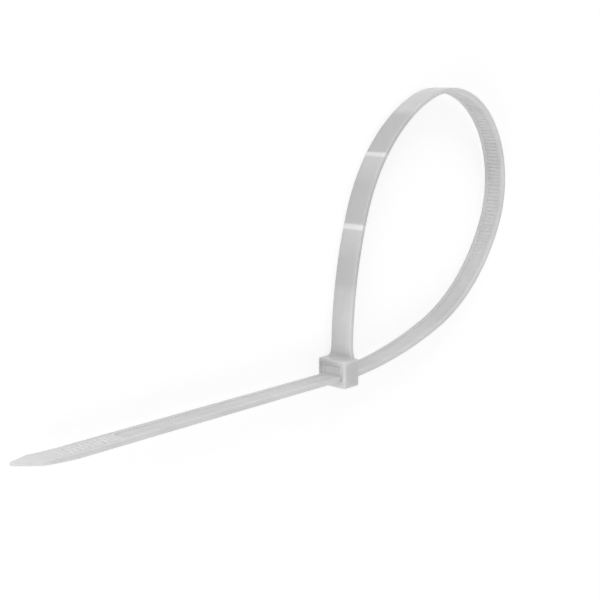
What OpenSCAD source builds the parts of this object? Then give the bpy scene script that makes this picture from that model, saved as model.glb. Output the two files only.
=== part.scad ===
// Self-locking cable tie, closed into a loop and lying on its side.
// The origin is the centre of the head's lower side face. The tail runs towards -X, the loop
// stands off the head towards +X and +Y, and +Z runs across the strap.

/* [Strap] */
// Width of the strap
strap_w = 7.6; // [6:0.1:9]
// Thickness of the strap over its side rails
strap_t = 1.5; // [1.2:0.05:1.8]
// Width of each smooth rail beside the teeth
rail_w = 1.6; // [1.2:0.1:2]

/* [Teeth] */
// Distance from one tooth to the next
tooth_pitch = 1.3; // [1:0.1:1.8]
// Height of a tooth from its valley to its crest
tooth_h = 0.42; // [0.3:0.02:0.5]
// Length of a tooth's steep locking face along the strap
tooth_steep = 0.14; // [0.05:0.01:0.25]
// Depth of the crests below the rails
crest_drop = 0.08; // [0.02:0.02:0.16]
// Smooth length of strap between the teeth and the head
smooth_root = 16; // [8:1:30]

/* [Loop] */
// Radius of the crown, on the middle of the strap
crown_r = 32.7; // [29:0.1:36]
// Radius of the lower shoulder, between the crown and the slot's side
lower_r = 60.1; // [54:0.1:66]
// Radius of the upper shoulder, between the crown and the neck's side
upper_r = 55.4; // [50:0.1:61]
// Radius of the short bend where the strap leaves the slot
lead_r = 30; // [20:1:45]
// Turn of the short bend, in degrees
lead_turn = 3.9; // [1:0.1:5]
// Turn of the lower flank, in degrees
lower_flank = 15.6; // [13:0.1:18]
// Turn of the lower shoulder, in degrees
lower_turn = 43.3; // [40:0.1:46]
// Turn of the upper shoulder, in degrees
upper_turn = 49.3; // [46:0.1:52]
// Turn of the flank that runs down to the neck, in degrees
upper_flank = 17.7; // [15:0.1:20]

/* [Tail] */
// Length of tail from the head's exit face to the tip
tail_l = 114.6; // [80:0.1:140]
// Length over which the tail narrows to its tip
taper_l = 7; // [5:0.5:10]
// Width of the tip
tip_w = 2; // [1.4:0.1:3.6]
// Thickness of the tip
tip_t = 0.8; // [0.6:0.05:1.1]
// Length over which the tail thins to its tip
thin_l = 17; // [12:0.5:22]
// Length of the tail's bent end
bend_l = 17; // [12:0.5:22]
// Upward bend of the tip, for picking the tie up, in degrees
tip_bend = 6.5; // [3:0.5:9]
// Smooth length between the taper and the finger grip
grip_start = 7; // [4:0.5:10]
// Number of ribs in the finger grip
grip_ribs = 12; // [6:1:16]
// Distance from one grip rib to the next
grip_pitch = 1.5; // [1.2:0.1:2]

/* [Head] */
// Depth of the head from its exit face to its entry face
head_d = 6.9; // [6.3:0.1:7.6]
// Height of the head along the strap at its neck
head_h = 8.5; // [8.1:0.1:9.6]
// Thickness of each side wall beside the slot
side_wall = 1.35; // [1:0.05:2]
// Thickness of the end wall below the slot
end_wall = 2.1; // [1.7:0.05:2.4]
// Thickness of the roof over the pawl's cavity
roof = 1.65; // [1.3:0.05:1.9]
// Thickness of the entry wall that carries the pawl
entry_wall = 1.7; // [1.4:0.05:2]
// Rounding of the head's edges
head_round = 0.7; // [0.4:0.05:0.9]
// Bevel round the exit window
window_bevel = 0.3; // [0.15:0.05:0.45]
// Depth of the flared entry to the slot
flare = 0.6; // [0.3:0.05:0.8]

/* [Neck] */
// Step from the entry face back to the strap's toothed face
neck_step = 1.2; // [0.9:0.05:1.5]
// Height over which the strap widens into the head
neck_h = 3.4; // [2.6:0.1:4.2]
// Amount by which the neck widens on each side
neck_flare = 0.8; // [0.4:0.05:1]
// Radius where the strap's outer face meets the head
neck_fillet = 1; // [0.7:0.05:1.2]

/* [Pawl] */
// Number of teeth on the pawl
pawl_teeth = 3; // [2:1:3]
// Thickness of the pawl above its teeth
pawl_t = 2.4; // [2:0.05:2.7]
// Thickness of the pawl's hinge
hinge_t = 0.8; // [0.6:0.05:1]
// Gap between the pawl's tip and the exit face
pawl_back = 0.4; // [0.3:0.05:0.6]
// Step on each side from the slot in to the narrower cavity above it
cavity_step = 0.9; // [0.6:0.05:1.1]
// Gap between the pawl and the cavity's side walls
pawl_side = 0.35; // [0.25:0.05:0.45]

/* [Fits] */
// Clearance round the strap in its slot
slot_gap = 0.18; // [0.12:0.01:0.25]
// Clearance between the pawl's teeth and the strap's teeth
mesh_gap = 0.12; // [0.08:0.01:0.16]

/* [Hidden] */
$fa = 3;
$fs = 0.25;
nylon = [0.92, 0.92, 0.9];
// Depth by which one form runs into the next, or a cut runs past a face
bite = 0.1;
past = 1;
// Largest turn of the strap from one corner of its outline to the next
bend_step = 2.5;
// Share of its height by which the neck's slope runs on up the strap
neck_run_on = 0.25;

// Strap section: the teeth lie between the rails
channel_w = strap_w - 2 * rail_w;

// Head: half sizes, the slot and the cavity above it
slot_w = strap_w + 2 * slot_gap;
head_w = slot_w + 2 * side_wall;
mid_z = head_w / 2;
exit_x = -head_d / 2;
entry_x = head_d / 2;
slot_lo = -head_h / 2 + end_wall;
slot_y = slot_lo + slot_gap + strap_t / 2;
slot_hi = slot_y + strap_t / 2 + slot_gap;
cavity_hi = head_h / 2 - roof;
cavity_x = entry_x - entry_wall;
cavity_w = slot_w - 2 * cavity_step;

// Bends of the strap, from the tip to the neck. The two flank radii close the loop on the neck.
bend_x = exit_x - tail_l + bend_l;
bend_r = bend_l * 180 / (PI * tip_bend);
tip_x = bend_x - bend_r * sin(tip_bend);
tip_y = slot_y + bend_r * (1 - cos(tip_bend));
loop_x = entry_x - flare;
root_x = entry_x - neck_step - strap_t / 2;
root_y = head_h / 2 + neck_h;
root_end = head_h / 2 - roof / 2;
crown_turn = 270 - lead_turn - lower_flank - lower_turn - upper_turn - upper_flank;
turns = [lead_turn, lower_flank, lower_turn, crown_turn, upper_turn, upper_flank];
heads = [for (i = 0, a = 0; i <= len(turns); a = a + (i < len(turns) ? turns[i] : 0), i = i + 1) a];
reach = [for (i = [0:len(turns) - 1]) [sin(heads[i + 1]) - sin(heads[i]), cos(heads[i]) - cos(heads[i + 1])]];
inner_reach = lead_r * reach[0] + lower_r * reach[2] + crown_r * reach[3] + upper_r * reach[4];
span = [root_x - loop_x, root_y - slot_y] - inner_reach;
det = reach[1].x * reach[5].y - reach[5].x * reach[1].y;
flank_in = (span.x * reach[5].y - reach[5].x * span.y) / det;
flank_out = (reach[1].x * span.y - span.x * reach[1].y) / det;
radii = [lead_r, flank_in, lower_r, crown_r, upper_r, flank_out];
ends = len(radii) + 2;

// Runs of the path: [start x, start y, heading, radius (0 if straight), length]
function step(run) = run[3] == 0
    ? [run[0] + run[4] * cos(run[2]), run[1] + run[4] * sin(run[2]), run[2]]
    : let (a = run[2] + run[4] / run[3] * 180 / PI)
      [run[0] + run[3] * (sin(a) - sin(run[2])), run[1] + run[3] * (cos(run[2]) - cos(a)), a];
function next(runs, run) = concat(runs, [concat(step(runs[len(runs) - 1]), run)]);
function chain(runs, i) = i == len(radii) ? runs
    : chain(next(runs, [radii[i], radii[i] * turns[i] * PI / 180]), i + 1);
tail_run = next([[tip_x, tip_y, -tip_bend, bend_r, bend_l]], [0, loop_x - bend_x]);
runs = next(chain(tail_run, 0), [0, root_y - root_end]);
starts = [for (i = 0, s = 0; i <= len(runs); s = s + (i < len(runs) ? runs[i][4] : 0), i = i + 1) s];
neck_u = starts[ends];

// Point on the path at length u from the tip, moved inwards by n
function run_at(u) = max([for (i = [0:len(runs) - 1]) if (i == 0 || starts[i] <= u) i]);
function at(u, n) = let (i = run_at(u), r = runs[i], p = step([r[0], r[1], r[2], r[3], u - starts[i]]))
    [p[0] - n * sin(p[2]), p[1] + n * cos(p[2])];

// Lengths at which the ribbon has a corner: the start of each run, and steps round the bends
stations = concat([for (i = [0:ends - 1])
    let (n = runs[i][3] == 0 ? 1 : ceil(runs[i][4] / runs[i][3] * 180 / PI / bend_step))
    for (k = [0:n - 1]) starts[i] + runs[i][4] * k / n], [neck_u, starts[ends + 1]]);

// Teeth: counted both ways from the one that the pawl's first tooth meets
rail_n = strap_t / 2;
crest_n = rail_n - crest_drop;
valley_n = crest_n - tooth_h;
pawl_tip = exit_x + pawl_back;
mesh_u = starts[1] + pawl_tip - bend_x;
grip_u = taper_l + grip_start;
teeth_u = grip_u + grip_ribs * grip_pitch;
first_tooth = ceil((teeth_u - mesh_u) / tooth_pitch);
last_tooth = floor((neck_u - smooth_root - mesh_u) / tooth_pitch) - 1;
channel_end = mesh_u + (last_tooth + 1) * tooth_pitch;

// Two-dimensional forms
module rounded_rect(size, r) {
    square([size.x - 2 * r, size.y], center = true);
    square([size.x, size.y - 2 * r], center = true);
    for (x = [-1, 1], y = [-1, 1]) translate([x * (size.x / 2 - r), y * (size.y / 2 - r)]) circle(r);
}

// Side view of the strap over its rails, from the thin tip round the loop to the head
module ribbon() {
    outer = concat([for (u = stations) if (u < thin_l) at(u, (strap_t - tip_t) * (1 - u / thin_l) - rail_n)],
                   [at(thin_l, -rail_n)], [for (u = stations) if (u > thin_l) at(u, -rail_n)]);
    polygon(concat(outer, [for (i = [len(stations) - 1:-1:0]) at(stations[i], rail_n)]));
}

// Finger grip: low ribs across the tail, as wide as the gaps between them
function grip_profile() = let (side = grip_pitch / 12, rib = grip_pitch / 2)
    [for (k = [0:grip_ribs - 1]) let (u = grip_u + k * grip_pitch) each
        [at(u, valley_n), at(u + rib, valley_n), at(u + rib + side, crest_n), at(u + 2 * rib - side, crest_n)]];

// Ratchet teeth: a long ramp towards the head, then a steep face that locks on the pawl
function ratchet_profile() = [for (k = [first_tooth:last_tooth]) let (u = mesh_u + k * tooth_pitch) each
    [at(u, valley_n), at(u + tooth_pitch - tooth_steep, crest_n)]];

// Side view of what is cut away over the teeth, between the rails
module tooth_cut() {
    over = [for (u = stations) if (u > grip_u && u < channel_end) u];
    polygon(concat(grip_profile(), [at(teeth_u, valley_n)], ratchet_profile(),
                   [at(channel_end, valley_n), at(channel_end + tooth_h, rail_n + past)],
                   [for (i = [len(over) - 1:-1:0]) at(over[i], rail_n + past)],
                   [at(grip_u - tooth_h, rail_n + past)]));
}

// Outline of the tail seen on its toothed face, narrowing to a round tip
module tail_outline() {
    r = tip_w / 2;
    polygon([[tip_x + r, r], [tip_x + taper_l, strap_w / 2], [tip_x + taper_l + past, strap_w / 2],
             [tip_x + taper_l + past, -strap_w / 2], [tip_x + taper_l, -strap_w / 2], [tip_x + r, -r]]);
    translate([tip_x + r, 0]) circle(r);
}

// What lies beside the tail's outline, over the length of the taper
module tail_trim() {
    translate([0, tip_y + strap_t, mid_z]) rotate([90, 0, 0]) linear_extrude(3 * strap_t) difference() {
        translate([tip_x - past, -strap_w]) square([taper_l + past, 2 * strap_w]);
        tail_outline();
    }
}

module strap() {
    difference() {
        translate([0, 0, mid_z]) linear_extrude(strap_w, center = true) ribbon();
        translate([0, 0, mid_z]) linear_extrude(channel_w, center = true) tooth_cut();
        tail_trim();
    }
}

// Head with all its edges rounded
module head_shell() {
    translate([0, 0, mid_z]) intersection() {
        linear_extrude(head_w, center = true) rounded_rect([head_d, head_h], head_round);
        rotate([90, 0, 0]) linear_extrude(head_h, center = true) rounded_rect([head_d, head_w], head_round);
        rotate([90, 0, 90]) linear_extrude(head_d, center = true) rounded_rect([head_h, head_w], head_round);
    }
}

// Slot with its flared entry, then the narrower pawl cavity above it with its bevelled window:
// both seen from the side, and the bevels of the window's sides seen from above
module head_bore() {
    b = window_bevel;
    translate([0, 0, mid_z]) linear_extrude(slot_w, center = true) polygon([
        [exit_x - past, slot_lo], [entry_x - flare, slot_lo], [entry_x + past, slot_lo - flare - past],
        [entry_x + past, slot_hi + flare + past], [entry_x - flare, slot_hi], [exit_x - past, slot_hi]]);
    translate([0, 0, mid_z]) linear_extrude(cavity_w, center = true) polygon([
        [exit_x - past, slot_y], [cavity_x, slot_y], [cavity_x, cavity_hi],
        [exit_x + b, cavity_hi], [exit_x - past, cavity_hi + b + past]]);
    translate([0, (slot_y + cavity_hi) / 2, mid_z]) rotate([90, 0, 0])
        linear_extrude(cavity_hi - slot_y, center = true) polygon([
            [exit_x - past, cavity_w / 2 + b + past], [exit_x + b, cavity_w / 2], [exit_x + b, -cavity_w / 2],
            [exit_x - past, -cavity_w / 2 - b - past]]);
}

// Widening root of the strap on top of the head
module neck() {
    outer_x = root_x - strap_t / 2;
    top = head_h / 2;
    low = strap_w / 2 + neck_flare;
    high = strap_w / 2 - neck_flare * neck_run_on;
    high_y = root_y + neck_h * neck_run_on;
    intersection() {
        translate([0, 0, mid_z]) linear_extrude(head_w, center = true) {
            translate([outer_x, root_end]) square([strap_t, root_y - root_end]);
            translate([outer_x - neck_fillet, top - bite]) difference() {
                square([neck_fillet + bite, neck_fillet + bite]);
                translate([0, neck_fillet + bite]) circle(neck_fillet);
            }
        }
        translate([0, 0, mid_z]) rotate([90, 0, 90]) linear_extrude(head_d, center = true)
            polygon([[high_y, high], [top, low], [root_end, low],
                     [root_end, -low], [top, -low], [high_y, -high]]);
    }
}

// Pawl hung from the entry wall: a sloping tongue, and teeth that face the strap's own
module pawl() {
    body_lo = slot_y + rail_n + mesh_gap;
    body_hi = body_lo + pawl_t;
    teeth_end = pawl_tip + pawl_teeth * tooth_pitch;
    body_end = min(teeth_end, cavity_x);
    hinge_lo = body_hi - hinge_t * 3 / 4;
    body_w = cavity_w - 2 * pawl_side;
    profile = [for (k = [0:pawl_teeth - 1], crest = [0, 1])
        [pawl_tip + mesh_gap + k * tooth_pitch + crest * (tooth_pitch - tooth_steep),
         slot_y + (crest == 0 ? valley_n : crest_n) + mesh_gap]];
    translate([0, 0, mid_z]) {
        linear_extrude(body_w, center = true) polygon([
            [pawl_tip + mesh_gap, body_lo], [body_end, body_lo], [cavity_x + bite, hinge_lo],
            [cavity_x + bite, hinge_lo + hinge_t], [body_end, body_hi + hinge_t / 4],
            [pawl_tip + mesh_gap, body_hi]]);
        linear_extrude(channel_w - 2 * mesh_gap, center = true) polygon(concat(
            [[pawl_tip + mesh_gap, body_lo + bite]], profile, [[teeth_end, body_lo + bite]]));
    }
}

module head() {
    difference() {
        head_shell();
        head_bore();
    }
    neck();
    pawl();
}

// The whole tie is moulded in one piece
module cable_tie() {
    color(nylon) {
        head();
        strap();
    }
}

cable_tie();
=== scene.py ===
"""Self-locking cable tie of natural nylon, closed into a loop and lying on its side."""

import math

import bmesh
import bpy
from bpy.props import FloatProperty, FloatVectorProperty, IntProperty, PointerProperty
from bpy.types import Operator, Panel, PropertyGroup
from mathutils import Matrix, Vector


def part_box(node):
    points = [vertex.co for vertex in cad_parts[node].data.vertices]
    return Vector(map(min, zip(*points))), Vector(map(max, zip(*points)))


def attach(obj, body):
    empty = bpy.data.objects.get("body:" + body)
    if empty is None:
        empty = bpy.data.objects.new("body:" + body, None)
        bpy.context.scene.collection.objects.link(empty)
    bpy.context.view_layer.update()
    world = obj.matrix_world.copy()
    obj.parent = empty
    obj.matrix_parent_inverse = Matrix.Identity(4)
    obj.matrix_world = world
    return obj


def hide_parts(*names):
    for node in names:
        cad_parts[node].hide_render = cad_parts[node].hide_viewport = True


bl_info = {
    "name": "Cable Tie",
    "version": (1, 0, 0),
    "blender": (4, 5, 0),
    "location": "3D View > Sidebar > Cable Tie",
    "description": "Moulds a nylon cable tie with its ratchet head, teeth and looped strap",
    "category": "Object",
}

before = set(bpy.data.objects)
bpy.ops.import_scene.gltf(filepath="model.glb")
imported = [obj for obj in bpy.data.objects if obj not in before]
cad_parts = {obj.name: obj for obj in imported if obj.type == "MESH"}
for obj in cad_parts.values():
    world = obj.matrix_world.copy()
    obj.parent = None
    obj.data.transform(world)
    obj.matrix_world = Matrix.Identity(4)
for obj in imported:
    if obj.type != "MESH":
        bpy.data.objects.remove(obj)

MM = 0.001
NODE = "cable_tie"
BODY = "root"
LAID = "Laid straight"
MID_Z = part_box(NODE)[1].z / 2

# Places nearer than a hair are taken as one place.
HAIR = 0.001 * MM
# A face looks along an axis when more than this much of its normal does.
ALONG = 0.5
# Faces that meet at more than this stay sharp.
SMOOTH_LIMIT = math.radians(32)
# First width of an inset, whose corners are then set one by one.
ANY_INSET = 0.1 * MM
# Power of the curve by which the neck widens.
NECK_CURVE = 1.6

# Scales of the nylon's patterns, and how they blend and stand out.
CLOUD_SCALE = 90
CLOUD_SHARE = 0.55
CLOUD_EDGES = (0.36, 0.64)
FLOW_SCALE = 2400
FLOW_STRETCH = 0.03
GRAIN_SCALE = 2600
HOLLOW_SCALE = 1300
HOLLOW_EDGES = (0.4, 0.6)
HOLLOW_PALER = 1.04
RELIEF = 0.12
RELIEF_DEPTH = 0.03 * MM
NYLON_IOR = 1.53
MILKINESS = 0.85

# Brightness of a painted glint where its line ends and its bloom starts, and before its line.
GLINT_BLOOM_LEVEL = 0.22
GLINT_HINT_LEVEL = 0.08

# Lengths over which a change of colour fades.
PAINTED_SHADE_FADE = 4 * MM
GRIP_FADE = 1 * MM
CHANNEL_FADE = 0.3 * MM
FACE_FADE = 0.5 * MM


def length(name, description, millimetres):
    """A length property, given in millimetres."""
    return FloatProperty(name=name, description=description, default=millimetres * MM,
                         unit="LENGTH", precision=5)


def place(name, description, millimetres):
    """A place property, given in millimetres."""
    return FloatVectorProperty(name=name, description=description, size=3, subtype="TRANSLATION",
                               default=[c * MM for c in millimetres], precision=5)


def angle(name, description, degrees):
    """An angle property, given in degrees."""
    return FloatProperty(name=name, description=description, default=math.radians(degrees),
                         subtype="ANGLE")


class TieStrap(PropertyGroup):
    width: length("Width", "Width of the strap", 7.6)
    thickness: length("Thickness", "Thickness over the side rails", 1.5)
    rail: length("Rail", "Width of each smooth rail beside the teeth", 1.6)
    pitch: length("Tooth pitch", "Distance from one tooth to the next", 1.3)
    tooth: length("Tooth height", "Height of a tooth from valley to crest", 0.42)
    steep: length("Steep face", "Length of a tooth's locking face along the strap", 0.14)
    crest_drop: length("Crest drop", "Depth of the crests below the rails", 0.08)
    smooth_root: length("Smooth root", "Strap without teeth next to the head", 16)
    edge_round: length("Edge rounding", "Rounding of the strap's four long edges", 0.28)
    rail_round: length("Rail rounding", "Rounding of the rails where they meet the teeth", 0.1)
    crest_round: length("Crest rounding", "Rounding of each tooth's crest", 0.05)


class TieLoop(PropertyGroup):
    crown: length("Crown radius", "Radius of the crown, on the middle of the strap", 32.7)
    lower: length("Lower shoulder", "Radius between the crown and the slot's side", 60.1)
    upper: length("Upper shoulder", "Radius between the crown and the neck's side", 55.4)
    lead: length("Lead radius", "Radius of the short bend where the strap leaves the slot", 30)
    lead_turn: angle("Lead turn", "Turn of the short bend", 3.9)
    lower_flank: angle("Lower flank turn", "Turn of the lower flank", 15.6)
    lower_turn: angle("Lower shoulder turn", "Turn of the lower shoulder", 43.3)
    upper_turn: angle("Upper shoulder turn", "Turn of the upper shoulder", 49.3)
    upper_flank: angle("Upper flank turn", "Turn of the flank that runs down to the neck", 17.7)


class TieTail(PropertyGroup):
    length: length("Length", "Length of tail from the head's exit face to the tip", 114.6)
    taper: length("Taper", "Length over which the tail narrows to its tip", 7)
    tip_width: length("Tip width", "Width of the tip", 2)
    tip_thickness: length("Tip thickness", "Thickness of the tip", 0.8)
    thinning: length("Thinning", "Length over which the tail thins to its tip", 17)
    bend: length("Bend", "Length of the tail's bent end", 17)
    bend_angle: angle("Bend angle", "Upward bend of the tip, for picking the tie up", 6.5)
    grip_start: length("Grip start", "Smooth length between the taper and the finger grip", 7)
    grip_ribs: IntProperty(name="Grip ribs", description="Number of ribs in the finger grip",
                           default=12, min=1)
    grip_pitch: length("Grip pitch", "Distance from one grip rib to the next", 1.5)


class TieHead(PropertyGroup):
    depth: length("Depth", "Depth of the head from its exit face to its entry face", 6.9)
    height: length("Height", "Height of the head along the strap at its neck", 8.5)
    end_wall: length("End wall", "Thickness of the wall below the slot", 2.1)
    roof: length("Roof", "Thickness of the roof over the pawl's cavity", 1.65)
    entry_wall: length("Entry wall", "Thickness of the wall that carries the pawl", 1.7)
    rounding: length("Rounding", "Rounding of the head's edges", 0.7)
    rim: length("Window rim", "Rounding of the exit window's rim", 0.3)
    recess: length("Window recess", "Depth at which the window narrows to the cavity", 0.4)
    cavity_step: length("Cavity step", "Step on each side from the slot in to the cavity", 0.9)
    flare: length("Flare", "Depth of the flared entry to the slot", 0.6)
    slot_gap: length("Slot gap", "Clearance round the strap in its slot", 0.18)
    neck_step: length("Neck step", "Step from the entry face back to the strap", 1.2)
    neck_height: length("Neck height", "Height over which the strap widens into the head", 3.4)
    neck_flare: length("Neck flare", "Amount by which the neck widens on each side", 0.8)
    neck_fillet: length("Neck fillet", "Radius where the strap's outer face meets the head", 1)


class TiePawl(PropertyGroup):
    teeth: IntProperty(name="Teeth", description="Number of teeth on the pawl", default=3, min=1)
    thickness: length("Thickness", "Thickness of the pawl above its teeth", 2.4)
    hinge: length("Hinge", "Thickness of the pawl's hinge", 0.8)
    back: length("Setback", "Gap between the pawl's tip and the exit face", 0.4)
    side: length("Side gap", "Gap between the pawl and the cavity's side walls", 0.35)
    mesh_gap: length("Mesh gap", "Clearance between the pawl's teeth and the strap's", 0.12)


class TieLook(PropertyGroup):
    colour: FloatVectorProperty(name="Nylon", description="Colour of the natural nylon", size=3,
                                subtype="COLOR", default=(0.61, 0.61, 0.61), min=0, max=1)
    cloud: FloatVectorProperty(name="Cloud", description="Colour of the milkier patches", size=3,
                               subtype="COLOR", default=(0.69, 0.69, 0.69), min=0, max=1)
    # Painted light: a paler colour over the grip's channel that lightens the shade in its grooves.
    painted_grip_light: FloatVectorProperty(name="Grip light", description="Colour of the painted light on the finger grip's channel", size=3,
                               subtype="COLOR", default=(0.78, 0.78, 0.78), min=0, max=1)
    # Painted shade: a darker colour painted over a stretch of the loop, where less light falls.
    painted_shade_colour: FloatVectorProperty(name="Painted shade stretch", description="Colour of the stretch that is bent "
                              "between the painted glints", size=3, subtype="COLOR",
                              default=(0.555, 0.555, 0.555), min=0, max=1)
    # Painted shade and painted glow for the faces inside the head.
    hollow: FloatVectorProperty(name="Hollow", description="Painted shade: darker colour of the faces inside the head",
                                size=3, subtype="COLOR", default=(0.55, 0.55, 0.55), min=0, max=1)
    painted_glow_strength: FloatProperty(name="Painted glow through the walls", description="Light that comes through the "
                        "head's thin walls into its hollow", default=0.16, min=0)
    # Painted highlight: this colour and the fields after the light depth paint two glints as bright
    # bands across the loop.
    painted_glint_colour: FloatVectorProperty(name="Painted glint white", description="Colour of the painted glints",
                                size=3, subtype="COLOR", default=(0.99, 0.99, 0.99), min=0, max=1)
    roughness: FloatProperty(name="Roughness", description="Roughness of the moulded surface",
                             default=0.34, min=0, max=1)
    depth: length("Light depth", "Depth to which light enters the nylon", 3.5)
    # Where the two painted glints lie, how wide and bright they are, how far they fade and how much
    # shows on the sides.
    glint_low_place: length("Lower painted glint", "Distance of the sharper painted glint from the neck", 36.7)
    glint_high_place: length("Upper painted glint", "Distance of the softer painted glint from the neck", 60.3)
    crease: length("Painted glint width", "Width of the bright line of a painted glint", 1.4)
    glint_high_strength: FloatProperty(name="Upper painted glint white", description="Brightness of the upper painted glint, "
                              "where the lower one has 1", default=0.75, min=0, max=1)
    bloom: length("Painted glint bloom", "Length over which a painted glint fades below its line", 11)
    through: FloatProperty(name="Painted glint through", description="Share of the whitening that shows on "
                           "the strap's sides and toothed face", default=0.3, min=0, max=1)
    # Where the painted shade starts and ends along the strap.
    painted_shade_from: length("Dull from", "Distance from the neck at which the painted shade starts", 20)
    painted_shade_to: length("Dull to", "Distance from the neck at which the painted shade ends", 76)


class TieStage(PropertyGroup):
    floor: FloatVectorProperty(name="Floor", description="Colour of the floor", size=3,
                               subtype="COLOR", default=(0.8, 0.8, 0.8), min=0, max=1)
    floor_radius: FloatProperty(name="Floor radius", description="Radius of the floor", default=4,
                                unit="LENGTH")
    floor_shade: FloatProperty(name="Floor shade", description="White that the floor shows "
                               "where it is lit", default=0.55, min=0, max=1)
    near_glow: FloatProperty(name="Near glow", description="White that the floor shows by itself "
                             "under the tie", default=0.63, min=0, max=1)
    far_glow: FloatProperty(name="Far glow", description="White that the floor shows by itself "
                            "far from the lamps", default=0.7, min=0, max=1)
    near: length("Near floor", "Radius of the floor round the tie that keeps its shadow", 160)
    far: length("Far floor", "Radius from which the floor has its far glow", 700)
    horizon: FloatProperty(name="Light from the sides", description="Strength of the light from "
                           "the walls of the studio", default=0.76, min=0)
    zenith: FloatProperty(name="Light from above", description="Strength of the light from the "
                          "studio's ceiling", default=0.49, min=0)
    key: FloatProperty(name="Key lamp", description="Power of the key lamp", default=3.9,
                       subtype="POWER", min=0)
    fill: FloatProperty(name="Fill lamp", description="Power of the fill lamp", default=1.55,
                        subtype="POWER", min=0)
    key_size: length("Key size", "Width of the key lamp", 700)
    fill_size: length("Fill size", "Width of the fill lamp", 400)
    key_place: place("Key place", "Place of the key lamp", (-300, 1200, 450))
    fill_place: place("Fill place", "Place of the fill lamp", (-600, -350, 200))
    lamp_target: place("Lamp target", "Point that both lamps face", (0, 30, 0))
    lens: FloatProperty(name="Lens", description="Focal length of the camera in millimetres",
                        default=69.04, min=1)
    yaw: angle("Camera yaw", "Direction of the camera round the tie as it stands", -48.253)
    pitch: angle("Camera pitch", "Height of the camera's view as the tie stands", 10.888)
    roll: angle("Camera roll", "Tilt of the camera about its own view", 0.340)
    camera_place: place("Camera place", "Place of the camera beside the tie as it stands",
                        (-262.558, -218.284, 87.769))


class Route:
    """Middle line of the strap: from the tip along the tail, round the loop and down to the neck.
    Each run is (start x, start y, heading, radius or 0, length)."""

    def __init__(self, strap, loop, tail, head):
        self.exit_x = -head.depth / 2
        entry_x = head.depth / 2
        self.slot_low = -head.height / 2 + head.end_wall
        self.slot_y = self.slot_low + head.slot_gap + strap.thickness / 2
        loop_x = entry_x - head.flare
        self.root_x = entry_x - head.neck_step - strap.thickness / 2
        self.root_y = head.height / 2 + head.neck_height
        root_end = head.height / 2 - head.roof / 2

        bend_x = self.exit_x - tail.length + tail.bend
        bend_radius = tail.bend / tail.bend_angle
        tip = (bend_x - bend_radius * math.sin(tail.bend_angle),
               self.slot_y + bend_radius * (1 - math.cos(tail.bend_angle)))
        self.runs = [(*tip, -tail.bend_angle, bend_radius, tail.bend)]
        self.add(0, loop_x - bend_x)

        turns = [loop.lead_turn, loop.lower_flank, loop.lower_turn, 0, loop.upper_turn,
                 loop.upper_flank]
        turns[3] = math.radians(270) - sum(turns)
        radii = [loop.lead, 0, loop.lower, loop.crown, loop.upper, 0]
        radii[1], radii[5] = self.flank_radii(turns, radii, self.root_x - loop_x)
        for radius, turn in zip(radii, turns):
            self.add(radius, radius * turn)
        self.add(0, self.root_y - root_end)

        self.starts = [sum(run[4] for run in self.runs[:i]) for i in range(len(self.runs) + 1)]
        self.neck_u = self.starts[-2]
        self.end_u = self.starts[-1]
        self.bend_end_x = bend_x

    def flank_radii(self, turns, radii, span_x):
        """Radii of the two flanks, with which the loop ends on the neck."""
        headings = [sum(turns[:i]) for i in range(len(turns) + 1)]
        reach = [Vector((math.sin(b) - math.sin(a), math.cos(a) - math.cos(b)))
                 for a, b in zip(headings, headings[1:])]
        span = Vector((span_x, self.root_y - self.slot_y))
        for radius, way in zip(radii, reach):
            span -= radius * way
        first, last = reach[1], reach[5]
        det = first.x * last.y - last.x * first.y
        return ((span.x * last.y - last.x * span.y) / det,
                (first.x * span.y - span.x * first.y) / det)

    @staticmethod
    def step(run, distance):
        """Point and heading at a distance along one run."""
        x, y, heading, radius, _ = run
        if radius == 0:
            return x + distance * math.cos(heading), y + distance * math.sin(heading), heading
        turned = heading + distance / radius
        return (x + radius * (math.sin(turned) - math.sin(heading)),
                y + radius * (math.cos(heading) - math.cos(turned)), turned)

    def add(self, radius, distance):
        """Adds a run that goes on from the last one."""
        self.runs.append((*self.step(self.runs[-1], self.runs[-1][4]), radius, distance))

    def at(self, u, n):
        """Point at length u from the tip, moved inwards by n."""
        index = max([i for i in range(len(self.runs)) if self.starts[i] <= u] or [0])
        x, y, heading = self.step(self.runs[index], u - self.starts[index])
        return x - n * math.sin(heading), y + n * math.cos(heading)


def tooth_profile(strap, tail, pawl, route):
    """Floor of the channel between the rails, as (length from the tip, height from the middle):
    the ribs of the finger grip, then the ratchet teeth."""
    crest = strap.thickness / 2 - strap.crest_drop
    valley = crest - strap.tooth
    grip_u = tail.taper + tail.grip_start
    rib, side = tail.grip_pitch / 2, tail.grip_pitch / 12
    profile = []
    for k in range(tail.grip_ribs):
        u = grip_u + k * tail.grip_pitch
        profile += [(u, valley), (u + rib, valley), (u + rib + side, crest),
                    (u + 2 * rib - side, crest)]
    teeth_u = grip_u + tail.grip_ribs * tail.grip_pitch
    profile.append((teeth_u, valley))
    mesh_u = tail.bend + route.exit_x + pawl.back - route.bend_end_x
    first = math.ceil((teeth_u - mesh_u) / strap.pitch)
    last = math.floor((route.neck_u - strap.smooth_root - mesh_u) / strap.pitch) - 1
    for k in range(first, last + 1):
        u = mesh_u + k * strap.pitch
        profile += [(u, valley), (u + strap.pitch - strap.steep, crest)]
    profile.append((mesh_u + (last + 1) * strap.pitch, valley))
    return profile


def spread(start, end, step):
    """Evenly spaced values from start up to, but not with, end."""
    count = max(1, math.ceil((end - start) / step))
    return [start + (end - start) * i / count for i in range(count)]


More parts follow.
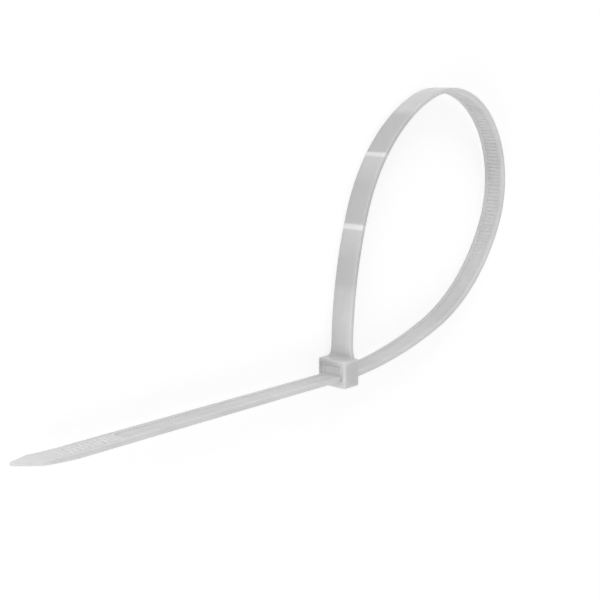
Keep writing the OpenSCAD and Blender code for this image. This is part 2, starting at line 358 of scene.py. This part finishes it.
def strap_stations(strap, tail, head, route, profile):
    """Lengths at which the strap has a ring of corners."""
    plain, close = 1 * MM, 0.4 * MM
    tip = tail.tip_width / 2
    rounded = [tip * (1 - math.cos(math.radians(a))) for a in range(15, 90, 15)]
    tapered = spread(tip, tail.taper, plain)
    smooth = spread(tail.taper, profile[0][0], plain)
    root = spread(profile[-1][0] + strap.pitch, route.neck_u, strap.pitch)
    top_u = route.neck_u + head.neck_height
    fillet_u = top_u - head.neck_fillet
    neck = spread(route.neck_u, fillet_u, close)
    fillet = [top_u - head.neck_fillet * (1 - math.sin(math.radians(a))) for a in range(0, 90, 10)]
    toothed = [u for u, _ in profile]
    return rounded + tapered + smooth + toothed + root + neck + fillet + [top_u, route.end_u]


def middle(f):
    return f.calc_center_median()


def build_slab(bm, strap, stations):
    """The strap laid out straight: X from the tip, Y from the outer to the toothed face."""
    rows = [-strap.width / 2, strap.rail - strap.width / 2, strap.width / 2 - strap.rail,
            strap.width / 2]
    columns = len(stations) - 1
    bmesh.ops.create_grid(bm, x_segments=columns, y_segments=len(rows) - 1, size=1)
    for v in bm.verts:
        column = round((v.co.x + 1) / 2 * columns)
        row = round((v.co.y + 1) / 2 * (len(rows) - 1))
        v.co = (stations[column], strap.thickness / 2, rows[row])
    grown = bmesh.ops.extrude_face_region(bm, geom=bm.faces[:])
    outer = [g for g in grown["geom"] if isinstance(g, bmesh.types.BMVert)]
    bmesh.ops.translate(bm, vec=(0, -strap.thickness, 0), verts=outer)
    bmesh.ops.recalc_face_normals(bm, faces=bm.faces[:])


def sink_channel(bm, strap, profile):
    """Sinks the middle of the toothed face and gives its floor the ribs and teeth."""
    top, half = strap.thickness / 2, strap.width / 2 - strap.rail
    start, end = profile[0][0], profile[-1][0]
    toothed = []
    for f in bm.faces:
        c = middle(f)
        if c.y > top - HAIR and abs(c.z) < half and start < c.x < end:
            toothed.append(f)
    grown = bmesh.ops.extrude_face_region(bm, geom=toothed)
    bmesh.ops.delete(bm, geom=toothed, context="FACES_ONLY")
    floor = [g for g in grown["geom"] if isinstance(g, bmesh.types.BMVert)]
    heights = {round(u / HAIR): n for u, n in profile}
    for v in floor:
        v.co.y = heights[round(v.co.x / HAIR)]


def long_edges(bm, z, y, start=-1.0, end=1.0):
    """Edges that run along the straight strap at a given z and y, between two lengths."""
    return [e for e in bm.edges
            if all(abs(abs(v.co.z) - z) < HAIR and abs(v.co.y - y) < HAIR
                   and start - HAIR <= v.co.x <= end + HAIR for v in e.verts)
            and abs(e.verts[0].co.x - e.verts[1].co.x) > HAIR]


def round_edges(bm, edges, offset, segments):
    bmesh.ops.bevel(bm, geom=edges, offset=offset, segments=segments, profile=0.5,
                    affect="EDGES", material=-1, clamp_overlap=True)


def shape_tail(bm, strap, tail):
    """Narrows and thins the end of the tail."""
    tip = tail.tip_width / 2
    top = strap.thickness / 2
    for v in bm.verts:
        u = v.co.x
        if u < tip:
            v.co.z *= math.sqrt(max(0, tip ** 2 - (tip - u) ** 2)) / (strap.width / 2)
        elif u < tail.taper:
            share = (u - tip) / (tail.taper - tip)
            v.co.z *= (tip + (strap.width / 2 - tip) * share) / (strap.width / 2)
        if u < tail.thinning:
            thin = tail.tip_thickness + (strap.thickness - tail.tip_thickness) * u / tail.thinning
            v.co.y = top - (top - v.co.y) * thin / strap.thickness


def shape_neck(bm, strap, head, route):
    """Widens the strap's root and flares its outer face into the head's top."""
    top = strap.thickness / 2
    r = head.neck_fillet
    for v in bm.verts:
        down = v.co.x - route.neck_u
        if down <= 0:
            continue
        share = min(1, down / head.neck_height)
        v.co.z *= 1 + 2 * head.neck_flare / strap.width * share ** NECK_CURVE
        above = max(0, head.neck_height - down)
        extra = r - math.sqrt(r ** 2 - (r - above) ** 2) if above < r else 0
        v.co.y = top - (top - v.co.y) * (strap.thickness + extra) / strap.thickness


def outer_shift(strap):
    """How far beside the toothed face the outer one lies on the map."""
    return 2 * strap.width


def map_laid_out(bm, strap):
    """Maps the straight strap by length and width, with its outer face beside the toothed one."""
    laid = bm.loops.layers.uv.new(LAID)
    bm.normal_update()
    for f in bm.faces:
        shift = outer_shift(strap) if f.normal.y < -ALONG else 0
        for corner in f.loops:
            corner[laid].uv = (corner.vert.co.x, corner.vert.co.z + shift)


def mould_strap(strap, loop, tail, head, pawl):
    """The strap as a closed mesh in its place, from the thin tip to the neck inside the head."""
    route = Route(strap, loop, tail, head)
    profile = tooth_profile(strap, tail, pawl, route)
    bm = bmesh.new()
    build_slab(bm, strap, strap_stations(strap, tail, head, route, profile))
    sink_channel(bm, strap, profile)
    top, half = strap.thickness / 2, strap.width / 2
    crest = top - strap.crest_drop
    crests = [e for e in bm.edges
              if all(abs(v.co.y - crest) < HAIR for v in e.verts)
              and abs(e.verts[0].co.x - e.verts[1].co.x) < HAIR]
    round_edges(bm, crests, strap.crest_round, segments=2)
    start, end = profile[0][0], profile[-1][0]
    rails = long_edges(bm, half - strap.rail, top, start, end)
    round_edges(bm, rails, strap.rail_round, segments=2)
    sides = long_edges(bm, half, top) + long_edges(bm, half, -top)
    round_edges(bm, sides, strap.edge_round, segments=4)
    shape_tail(bm, strap, tail)
    shape_neck(bm, strap, head, route)
    map_laid_out(bm, strap)
    for v in bm.verts:
        x, y = route.at(v.co.x, v.co.y)
        v.co = (x, y, v.co.z + MID_Z)
    bmesh.ops.recalc_face_normals(bm, faces=bm.faces[:])
    return bm


def facing(bm, axis):
    """The largest face that looks along an axis."""
    return max(bm.faces, key=lambda f: f.normal.dot(axis) * f.calc_area())


def fit(f, x, y, z):
    """Sets a four-cornered face across X to a rectangle: y and z are (low, high)."""
    c = middle(f)
    for v in f.verts:
        v.co = (x, y[v.co.y > c.y], z[v.co.z > c.z])


def carry(bm, f, x, y, z):
    """Extrudes one face to a rectangle further along X, and returns it."""
    f = bmesh.ops.extrude_discrete_faces(bm, faces=[f])["faces"][0]
    fit(f, x, y, z)
    return f


def inset(bm, f, x, y, z):
    """Insets one face and fits the inner one to a rectangle."""
    bmesh.ops.inset_individual(bm, faces=[f], thickness=ANY_INSET)
    fit(f, x, y, z)
    return f


def grow(span, by):
    return span[0] - by, span[1] + by


def mould_pawl(bm, wall, wall_x, strap, pawl, head, route):
    """The tongue on the cavity's back wall, with its teeth turned to the strap's."""
    lip = 0.05 * MM
    rail = strap.thickness / 2
    crest = route.slot_y + rail - strap.crest_drop + pawl.mesh_gap
    valley = crest - strap.tooth
    low = route.slot_y + rail + pawl.mesh_gap
    high = low + pawl.thickness
    hinge_low = high - pawl.hinge * 3 / 4
    tip_x = route.exit_x + pawl.back
    teeth_x = tip_x + pawl.teeth * strap.pitch
    z = grow((MID_Z, MID_Z), strap.width / 2 + head.slot_gap - head.cavity_step - pawl.side)
    f = inset(bm, wall, wall_x, (hinge_low, hinge_low + pawl.hinge), z)
    f = carry(bm, f, teeth_x, (low, high + pawl.hinge / 4), z)
    body = []
    for k in reversed(range(pawl.teeth)):
        for share in (strap.pitch - strap.steep, 0):
            x = tip_x + pawl.mesh_gap + k * strap.pitch + share
            rise = (x - tip_x) / (teeth_x - tip_x) * pawl.hinge / 4
            f = carry(bm, f, x, (low, high + rise), z)
            body.append(x)
    under = [g for g in bm.faces
             if abs(middle(g).y - low) < HAIR and middle(g).x < teeth_x - HAIR
             and g.normal.y < -ALONG]
    ridge = (strap.width / 2 - strap.rail) - pawl.mesh_gap
    bmesh.ops.inset_region(bm, faces=under, thickness=ANY_INSET)
    for v in {v for g in under for v in g.verts}:
        v.co.z = MID_Z + math.copysign(ridge, v.co.z - MID_Z)
        v.co.x = min(max(v.co.x, body[-1] + lip), body[0])
    grown = bmesh.ops.extrude_face_region(bm, geom=under)
    bmesh.ops.delete(bm, geom=under, context="FACES_ONLY")
    for v in [g for g in grown["geom"] if isinstance(g, bmesh.types.BMVert)]:
        nearest = min(range(len(body)), key=lambda i: abs(body[i] - v.co.x))
        v.co.y = crest if nearest % 2 == 0 else valley


def cut(bm, faces, axis, places):
    """Cuts flat faces across an axis at each of the places, and returns all the parts."""
    for distance in places:
        geom = {g for f in faces for g in (f, *f.edges, *f.verts)}
        done = bmesh.ops.bisect_plane(bm, geom=list(geom), plane_co=axis * distance, plane_no=axis)
        faces = [g for g in done["geom"] if isinstance(g, bmesh.types.BMFace)]
    return faces


def push(bm, faces, x):
    """Extrudes flat faces, as one region, along X to a new place, and returns the moved ones."""
    grown = bmesh.ops.extrude_face_region(bm, geom=faces)["geom"]
    bmesh.ops.delete(bm, geom=faces, context="FACES_ONLY")
    for v in [g for g in grown if isinstance(g, bmesh.types.BMVert)]:
        v.co.x = x
    return [g for g in grown if isinstance(g, bmesh.types.BMFace)]


def hollow_head(bm, head, slot, cavity, slot_z, cavity_z):
    """Sinks the slot and the narrower cavity above it from the exit face, meets them with the
    flared mouth on the entry face, and returns the cavity's back wall."""
    exit_x, entry_x = -head.depth / 2, head.depth / 2
    neck_x = entry_x - head.flare
    up, across = Vector((0, 1, 0)), Vector((0, 0, 1))
    clear = 0.2 * MM
    around = head.rounding + clear
    f = inset(bm, facing(bm, Vector((-1, 0, 0))), exit_x,
              (around - head.height / 2, head.height / 2 - around), (around, 2 * MID_Z - around))
    parts = cut(bm, cut(bm, [f], up, (*slot, cavity[1])), across, (*slot_z, *cavity_z))
    window = [g for g in parts if slot[0] < middle(g).y < cavity[1]
              and slot_z[0] < middle(g).z < slot_z[1]]
    window = push(bm, window, exit_x + head.recess)
    opening = [g for g in window
               if middle(g).y < slot[1] or cavity_z[0] < middle(g).z < cavity_z[1]]
    sunk = push(bm, opening, entry_x - head.entry_wall)
    wall = [g for g in sunk if middle(g).y > slot[1]]
    tunnel = push(bm, [g for g in sunk if middle(g).y < slot[1]], neck_x)

    mouth = inset(bm, facing(bm, Vector((1, 0, 0))), entry_x, grow(slot, head.flare), slot_z)
    mouth = push(bm, cut(bm, [mouth], across, cavity_z), neck_x)
    for v in {v for g in mouth for v in g.verts}:
        v.co.y = slot[v.co.y > sum(slot) / 2]
    bmesh.ops.delete(bm, geom=tunnel + mouth, context="FACES_ONLY")
    bmesh.ops.remove_doubles(bm, verts=bm.verts[:], dist=HAIR)
    bm.normal_update()
    rim = [e for e in bm.edges if all(abs(v.co.x - exit_x) < HAIR for v in e.verts)
           and any(abs(g.normal.x) < ALONG and middle(g).x > exit_x + head.rounding
                   for g in e.link_faces)]
    round_edges(bm, rim, head.rim, segments=3)
    return wall[0]


def mould_head(strap, loop, tail, head, pawl):
    """The head as a closed mesh: a rounded block with its window, cavity, slot and pawl."""
    route = Route(strap, loop, tail, head)
    bm = bmesh.new()
    bmesh.ops.create_cube(bm, size=1)
    bmesh.ops.scale(bm, vec=(head.depth, head.height, 2 * MID_Z), verts=bm.verts[:])
    bmesh.ops.translate(bm, vec=(0, 0, MID_Z), verts=bm.verts[:])
    round_edges(bm, bm.edges[:], head.rounding, segments=6)

    slot_high = route.slot_y + strap.thickness / 2 + head.slot_gap
    slot_z = grow((MID_Z, MID_Z), strap.width / 2 + head.slot_gap)
    wall = hollow_head(bm, head, (route.slot_low, slot_high), (slot_high, head.height / 2 - head.roof),
                       slot_z, grow(slot_z, -head.cavity_step))
    mould_pawl(bm, wall, head.depth / 2 - head.entry_wall, strap, pawl, head, route)
    bmesh.ops.recalc_face_normals(bm, faces=bm.faces[:])
    return bm


def add_object(name, data):
    """An object with its data, put in the scene."""
    added = bpy.data.objects.new(name, data)
    bpy.context.scene.collection.objects.link(added)
    return added


def make_object(name, bm):
    """A mesh object from a bmesh."""
    mesh = bpy.data.meshes.new(name)
    bm.to_mesh(mesh)
    bm.free()
    return add_object(name, mesh)


def fuse(piece, other):
    """Joins another closed piece to this one, as one moulding."""
    joined = piece.modifiers.new("Fuse", "BOOLEAN")
    joined.operation = "UNION"
    joined.solver = "EXACT"
    joined.object = other
    evaluated = piece.evaluated_get(bpy.context.evaluated_depsgraph_get())
    mesh = bpy.data.meshes.new_from_object(evaluated)
    piece.modifiers.clear()
    old, piece.data = piece.data, mesh
    mesh.name = piece.name
    bpy.data.meshes.remove(old)
    leftover = other.data
    bpy.data.objects.remove(other)
    bpy.data.meshes.remove(leftover)


def smooth_faces(piece, limit):
    """Smooth shading, with a crease wherever two faces meet at more than the limit."""
    piece.data.shade_smooth()
    piece.data.set_sharp_from_angle(angle=limit)


def new_material(name):
    material = bpy.data.materials.new(name)
    material.use_nodes = True
    material.node_tree.nodes.clear()
    return material, material.node_tree.nodes, material.node_tree.links


def add_math(nodes, links, operation, first, second):
    """A Math node whose inputs are sockets or numbers."""
    node = nodes.new("ShaderNodeMath")
    node.operation = operation
    for value, socket in zip((first, second), node.inputs):
        if isinstance(value, bpy.types.NodeSocket):
            links.new(value, socket)
        else:
            socket.default_value = value
    return node.outputs[0]


def add_noise(nodes, links, vector, scale, detail):
    noise = nodes.new("ShaderNodeTexNoise")
    noise.inputs["Scale"].default_value = scale
    noise.inputs["Detail"].default_value = detail
    links.new(vector, noise.inputs["Vector"])
    return noise.outputs["Fac"]


def add_range(nodes, links, value, old, new=(0, 1), kind="LINEAR"):
    """Carries a value from the old span to the new one, and holds it past their ends."""
    node = nodes.new("ShaderNodeMapRange")
    node.interpolation_type = kind
    for name, number in zip(("From Min", "From Max", "To Min", "To Max"), (*old, *new)):
        node.inputs[name].default_value = number
    links.new(value, node.inputs["Value"])
    return node.outputs["Result"]


def add_ramp(nodes, links, value, stops):
    """A colour ramp with (position, grey or colour) stops."""
    ramp = nodes.new("ShaderNodeValToRGB")
    points = ramp.color_ramp.elements
    while len(points) < len(stops):
        points.new(1)
    for point, (position, colour) in zip(points, stops):
        point.position = position
        point.color = (*colour, 1) if hasattr(colour, "__len__") else (colour, colour, colour, 1)
    links.new(value, ramp.inputs["Fac"])
    return ramp.outputs["Color"]


def painted_glint_ramp(nodes, links, along, glint_centre, look, peak):
    """How bright a painted glint is near one place on the strap: a thin line of painted highlight,
    whose stops are counted in line widths, and a bloom of painted highlight that fades below it."""
    span = add_range(nodes, links, along, (glint_centre - look.crease, glint_centre + look.bloom))
    line = look.crease / (look.crease + look.bloom)
    shown = [(0, 0), (0.4, GLINT_HINT_LEVEL * peak), (0.8, peak), (1.4, peak), (1.9, GLINT_BLOOM_LEVEL)]
    stops = [(widths * line, white) for widths, white in shown]
    return add_ramp(nodes, links, span, [*stops, (1, 0)])


def mix_colours(nodes, links, factor, first, second):
    """A blend from the first to the second colour: sockets or values."""
    mix = nodes.new("ShaderNodeMix")
    mix.data_type = "RGBA"
    links.new(factor, mix.inputs["Factor"])
    for value, name in ((first, "A"), (second, "B")):
        if isinstance(value, bpy.types.NodeSocket):
            links.new(value, mix.inputs[name])
        else:
            mix.inputs[name].default_value = (*value, 1)
    return mix.outputs["Result"]


def within(nodes, links, value, low, high, soft):
    """1 between two values, falling to 0 over a soft edge outside them."""
    offset = add_math(nodes, links, "SUBTRACT", value, (low + high) / 2)
    distance = add_math(nodes, links, "ABSOLUTE", offset, 0)
    half = (high - low) / 2
    return add_range(nodes, links, distance, (half + soft, half), kind="SMOOTHSTEP")


def add_nylon(nodes, links, look, colour):
    """The nylon's shader with a colour, joined to the material's output."""
    shader = nodes.new("ShaderNodeBsdfPrincipled")
    shader.inputs["Roughness"].default_value = look.roughness
    shader.inputs["IOR"].default_value = NYLON_IOR
    links.new(colour, shader.inputs["Base Color"])
    links.new(shader.outputs["BSDF"], nodes.new("ShaderNodeOutputMaterial").inputs["Surface"])
    return shader


def nylon_material(look, strap, tail, neck_u):
    """Natural nylon: milky, slightly cloudy, with light passing into it, fine flow lines along the
    strap, a painted shade over a stretch of the loop, painted light in the finger grip's channel, and
    two painted glints across the loop."""
    material, nodes, links = new_material("Natural nylon")
    body = nodes.new("ShaderNodeTexCoord").outputs["Object"]
    laid = nodes.new("ShaderNodeUVMap")
    laid.uv_map = LAID
    split = nodes.new("ShaderNodeSeparateXYZ")
    links.new(laid.outputs["UV"], split.inputs["Vector"])
    along, across = split.outputs["X"], split.outputs["Y"]

    cloud = add_noise(nodes, links, body, CLOUD_SCALE, detail=3)
    drawn = nodes.new("ShaderNodeMapping")
    drawn.inputs["Scale"].default_value = (FLOW_STRETCH, 1, 1)
    links.new(laid.outputs["UV"], drawn.inputs["Vector"])
    flow = add_noise(nodes, links, drawn.outputs["Vector"], FLOW_SCALE, detail=2)
    blend = add_math(nodes, links, "ADD",
                     add_math(nodes, links, "MULTIPLY", cloud, CLOUD_SHARE),
                     add_math(nodes, links, "MULTIPLY", flow, 1 - CLOUD_SHARE))
    base = add_ramp(nodes, links, blend, list(zip(CLOUD_EDGES, (look.colour, look.cloud))))

    # Two painted glints: bright bands of painted highlight across the strap.
    low = painted_glint_ramp(nodes, links, along, neck_u - look.glint_low_place, look, 1)
    high = painted_glint_ramp(nodes, links, along, neck_u - look.glint_high_place, look, look.glint_high_strength)
    # Painted shade: the stretch of the loop between these lengths is painted darker.
    painted_shade_mask = within(nodes, links, along, neck_u - look.painted_shade_to, neck_u - look.painted_shade_from, PAINTED_SHADE_FADE)
    painted_shade_mixed = mix_colours(nodes, links, painted_shade_mask, base, look.painted_shade_colour)

    # Painted light: the channel over the finger grip is painted paler, lightening the shade in its
    # grooves.
    grip_u = tail.taper + tail.grip_start
    grip_end = grip_u + tail.grip_ribs * tail.grip_pitch
    grip = within(nodes, links, along, grip_u, grip_end, GRIP_FADE)
    inner = strap.width / 2 - strap.rail
    channel = within(nodes, links, across, -inner, inner, CHANNEL_FADE)
    ribbed = add_math(nodes, links, "MULTIPLY", grip, channel)
    grip_lightened = mix_colours(nodes, links, ribbed, painted_shade_mixed, look.painted_grip_light)

    # The painted glints show in full on the outer face and only in part on the sides and toothed face.
    outer, half = outer_shift(strap), strap.width / 2 - strap.edge_round
    outer_face_mask = within(nodes, links, across, outer - half, outer + half, FACE_FADE)
    shows = add_range(nodes, links, outer_face_mask, (0, 1), (look.through, 1))
    glints_both = add_math(nodes, links, "MAXIMUM", low, high)
    white = add_math(nodes, links, "MULTIPLY", glints_both, shows)
    colour = mix_colours(nodes, links, white, grip_lightened, look.painted_glint_colour)

    grain = add_noise(nodes, links, body, GRAIN_SCALE, detail=2)
    bump = nodes.new("ShaderNodeBump")
    bump.inputs["Strength"].default_value = RELIEF
    bump.inputs["Distance"].default_value = RELIEF_DEPTH
    links.new(add_math(nodes, links, "ADD", grain, flow), bump.inputs["Height"])

    shader = add_nylon(nodes, links, look, colour)
    shader.inputs["Subsurface Weight"].default_value = MILKINESS
    shader.inputs["Subsurface Radius"].default_value = (1, 1, 1)
    shader.inputs["Subsurface Scale"].default_value = look.depth
    links.new(bump.outputs["Normal"], shader.inputs["Normal"])
    return material


def shade_and_glow_material(look):
    """The same nylon inside the head, painted darker as shade and with a faint painted glow in place
    of the light that seeps in through the thin walls.
    """
    material, nodes, links = new_material("Nylon inside the head, with painted shade and glow")
    body = nodes.new("ShaderNodeTexCoord").outputs["Object"]
    grain = add_noise(nodes, links, body, HOLLOW_SCALE, detail=2)
    paler = [min(1, c * HOLLOW_PALER) for c in look.hollow]
    colour = add_ramp(nodes, links, grain, list(zip(HOLLOW_EDGES, (look.hollow, paler))))
    shader = add_nylon(nodes, links, look, colour)
    # Painted glow: the faces inside the head give off a little light, standing in for light through
    # the walls.
    shader.inputs["Emission Color"].default_value = (1, 1, 1, 1)
    shader.inputs["Emission Strength"].default_value = look.painted_glow_strength
    return material


def paint_shade_and_glow(piece, head):
    """Gives the second material, with its painted shade and glow, to the faces that lie within the
    head's walls.
    """
    half = Vector((head.depth / 2 - head.recess, head.height / 2 - head.rounding,
                   MID_Z - head.rounding))
    for face in piece.data.polygons:
        off = face.center - Vector((0, 0, MID_Z))
        if all(abs(distance) < reach + HAIR for distance, reach in zip(off, half)):
            face.material_index = 1


def seen_directly(nodes, links):
    """1 for rays that show a surface to the camera, straight or by gloss or glass, else 0."""
    path = nodes.new("ShaderNodeLightPath")
    total = path.outputs["Is Camera Ray"]
    for name in ("Is Glossy Ray", "Is Transmission Ray"):
        total = add_math(nodes, links, "MAXIMUM", total, path.outputs[name])
    return total


def finish_seen(nodes, links, shown, lit, output):
    """Shows one shader where it is seen directly, and has the other wherever else rays meet it."""
    mix = nodes.new("ShaderNodeMixShader")
    links.new(seen_directly(nodes, links), mix.inputs["Fac"])
    links.new(lit.outputs[0], mix.inputs[1])
    links.new(shown.outputs[0], mix.inputs[2])
    links.new(mix.outputs[0], nodes.new(output).inputs["Surface"])


def floor_material(stage):
    """Pale floor that shows white where it is lit, and keeps the tie's soft shadow."""
    material, nodes, links = new_material("Pale floor")
    plain = nodes.new("ShaderNodeBsdfDiffuse")
    plain.inputs["Color"].default_value = (*stage.floor, 1)
    shown = nodes.new("ShaderNodeBsdfDiffuse")
    shade = stage.floor_shade
    shown.inputs["Color"].default_value = (shade, shade, shade, 1)
    away = nodes.new("ShaderNodeVectorMath")
    away.operation = "LENGTH"
    links.new(nodes.new("ShaderNodeTexCoord").outputs["Object"], away.inputs[0])
    rise = add_range(nodes, links, away.outputs["Value"], (stage.near, stage.far),
                     (stage.near_glow, stage.far_glow))
    glow = nodes.new("ShaderNodeEmission")
    links.new(rise, glow.inputs["Strength"])
    both = nodes.new("ShaderNodeAddShader")
    links.new(shown.outputs[0], both.inputs[0])
    links.new(glow.outputs[0], both.inputs[1])
    finish_seen(nodes, links, both, plain, "ShaderNodeOutputMaterial")
    return material


def light_world(stage):
    """White all round: full white where it is seen, and where it only lights, gentler from above
    than from the sides."""
    world = bpy.data.worlds.new("Studio")
    world.use_nodes = True
    nodes, links = world.node_tree.nodes, world.node_tree.links
    nodes.clear()
    split = nodes.new("ShaderNodeSeparateXYZ")
    links.new(nodes.new("ShaderNodeTexCoord").outputs["Generated"], split.inputs["Vector"])
    rise = add_range(nodes, links, split.outputs["Z"], (0, 1), (stage.horizon, stage.zenith))
    lit = nodes.new("ShaderNodeBackground")
    lit.inputs["Color"].default_value = (1, 1, 1, 1)
    links.new(rise, lit.inputs["Strength"])
    shown = nodes.new("ShaderNodeBackground")
    shown.inputs["Color"].default_value = (1, 1, 1, 1)
    finish_seen(nodes, links, shown, lit, "ShaderNodeOutputWorld")
    bpy.context.scene.world = world


def add_lamp(name, spot, target, size, power):
    """A square soft lamp that faces a point."""
    light = bpy.data.lights.new(name, "AREA")
    light.energy = power
    light.size = size
    lamp = add_object(name, light)
    lamp.location = spot
    lamp.rotation_euler = (target - spot).to_track_quat("-Z", "Y").to_euler()


def add_camera(stage):
    """The camera is placed beside the standing tie and then turned down with it onto the floor."""
    data = bpy.data.cameras.new("Camera")
    data.lens = stage.lens
    data.sensor_width = 36
    data.clip_start = 0.01
    camera = add_object("Camera", data)
    aim = (Matrix.Rotation(stage.yaw, 4, "Z") @ Matrix.Rotation(math.pi / 2 - stage.pitch, 4, "X")
           @ Matrix.Rotation(stage.roll, 4, "Z"))
    laid = Matrix.Translation((0, 0, MID_Z)) @ Matrix.Rotation(-math.pi / 2, 4, "X")
    camera.matrix_world = laid @ Matrix.Translation(stage.camera_place) @ aim
    bpy.context.scene.camera = camera


class TIE_OT_moulding(Operator):
    """Mould the strap and the head with its pawl, as one piece"""

    bl_idname = "cable_tie.moulding"
    bl_label = "Moulding"

    def execute(self, context):
        scene = context.scene
        strap, loop, tail = scene.tie_strap, scene.tie_loop, scene.tie_tail
        head, pawl, look = scene.tie_head, scene.tie_pawl, scene.tie_look
        piece = make_object("nylon_tie", mould_strap(strap, loop, tail, head, pawl))
        fuse(piece, make_object("head", mould_head(strap, loop, tail, head, pawl)))
        smooth_faces(piece, SMOOTH_LIMIT)
        neck_u = Route(strap, loop, tail, head).neck_u
        piece.data.materials.clear()
        piece.data.materials.append(nylon_material(look, strap, tail, neck_u))
        # The second material paints shade and a glow inside the head.
        piece.data.materials.append(shade_and_glow_material(look))
        paint_shade_and_glow(piece, head)
        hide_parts(NODE)
        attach(piece, BODY)
        return {"FINISHED"}


class TIE_OT_stage(Operator):
    """Set the floor, the lamps and the camera"""

    bl_idname = "cable_tie.stage"
    bl_label = "Stage"

    def execute(self, context):
        stage = context.scene.tie_stage
        bm = bmesh.new()
        bmesh.ops.create_circle(bm, cap_ends=True, segments=96, radius=stage.floor_radius)
        floor = make_object("floor", bm)
        floor.data.materials.append(floor_material(stage))
        light_world(stage)
        target = stage.lamp_target
        add_lamp("Key", stage.key_place, target, stage.key_size, stage.key)
        add_lamp("Fill", stage.fill_place, target, stage.fill_size, stage.fill)
        add_camera(stage)
        context.scene.view_settings.view_transform = "Standard"
        return {"FINISHED"}


class TIE_PT_panel(Panel):
    """Sizes, nylon and stage of the cable tie"""

    bl_idname = "TIE_PT_panel"
    bl_label = "Cable Tie"
    bl_space_type = "VIEW_3D"
    bl_region_type = "UI"
    bl_category = "Cable Tie"

    def draw(self, context):
        layout = self.layout
        for name, label in GROUPS.items():
            box = layout.box()
            box.label(text=label)
            group = getattr(context.scene, name)
            for prop in group.__annotations__:
                box.prop(group, prop)
        for operator in (TIE_OT_moulding, TIE_OT_stage):
            layout.operator(operator.bl_idname)


GROUPS = {"tie_strap": "Strap", "tie_loop": "Loop", "tie_tail": "Tail", "tie_head": "Head",
          "tie_pawl": "Pawl", "tie_look": "Nylon", "tie_stage": "Stage"}
GROUP_TYPES = (TieStrap, TieLoop, TieTail, TieHead, TiePawl, TieLook, TieStage)
CLASSES = (*GROUP_TYPES, TIE_OT_moulding, TIE_OT_stage, TIE_PT_panel)


def register():
    for cls in CLASSES:
        bpy.utils.register_class(cls)
    for name, cls in zip(GROUPS, GROUP_TYPES):
        setattr(bpy.types.Scene, name, PointerProperty(type=cls))


def unregister():
    for name in GROUPS:
        delattr(bpy.types.Scene, name)
    for cls in reversed(CLASSES):
        bpy.utils.unregister_class(cls)


def main():
    register()
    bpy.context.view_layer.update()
    bpy.ops.cable_tie.moulding()
    bpy.ops.cable_tie.stage()


if __name__ == "__main__":
    main()
